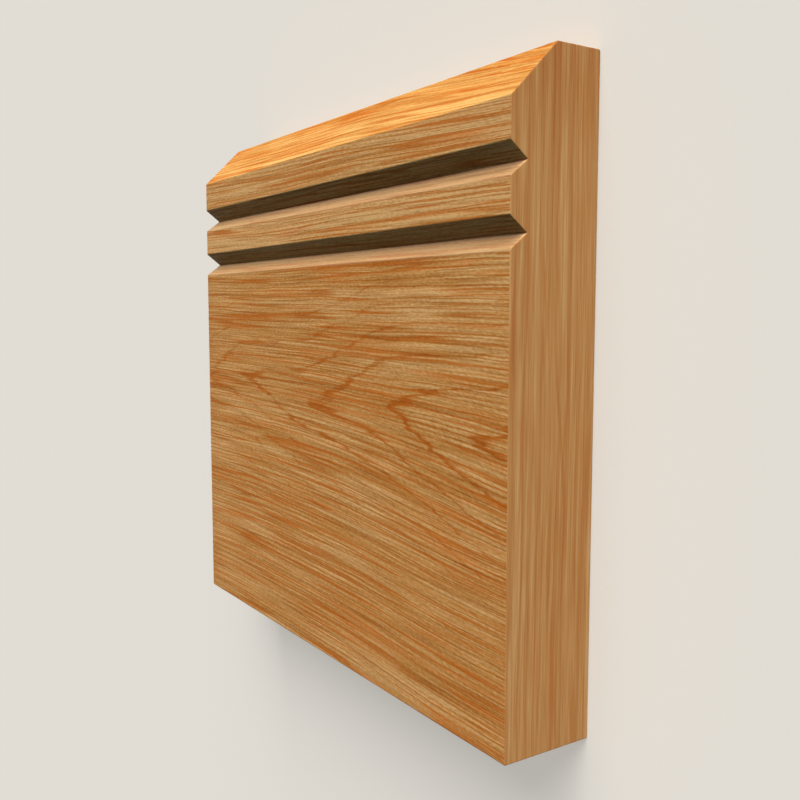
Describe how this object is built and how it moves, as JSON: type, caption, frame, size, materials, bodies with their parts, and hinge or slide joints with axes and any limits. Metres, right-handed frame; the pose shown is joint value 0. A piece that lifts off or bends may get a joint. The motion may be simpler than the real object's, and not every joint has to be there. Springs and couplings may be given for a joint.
{
  "type": "skirting board length",
  "caption": "Short length of solid oak skirting board with a bevelled top edge and V-grooves along its face, sawn square at both ends.",
  "frame": {"origin": "centre of the board's back, which is the centre of the bottom of its bounding box as it lies on its back", "axes": "+X along the board, +Y up the face from the floor edge to the bevelled top edge, +Z out of the face, away from the wall"},
  "size_m": [0.1324, 0.125, 0.02],
  "materials": {
    "oak": "planed oak under a thin clear satin lacquer"
  },
  "bodies": {
    "root": {"skirting_board": "oak"}
  },
  "joints": []
}
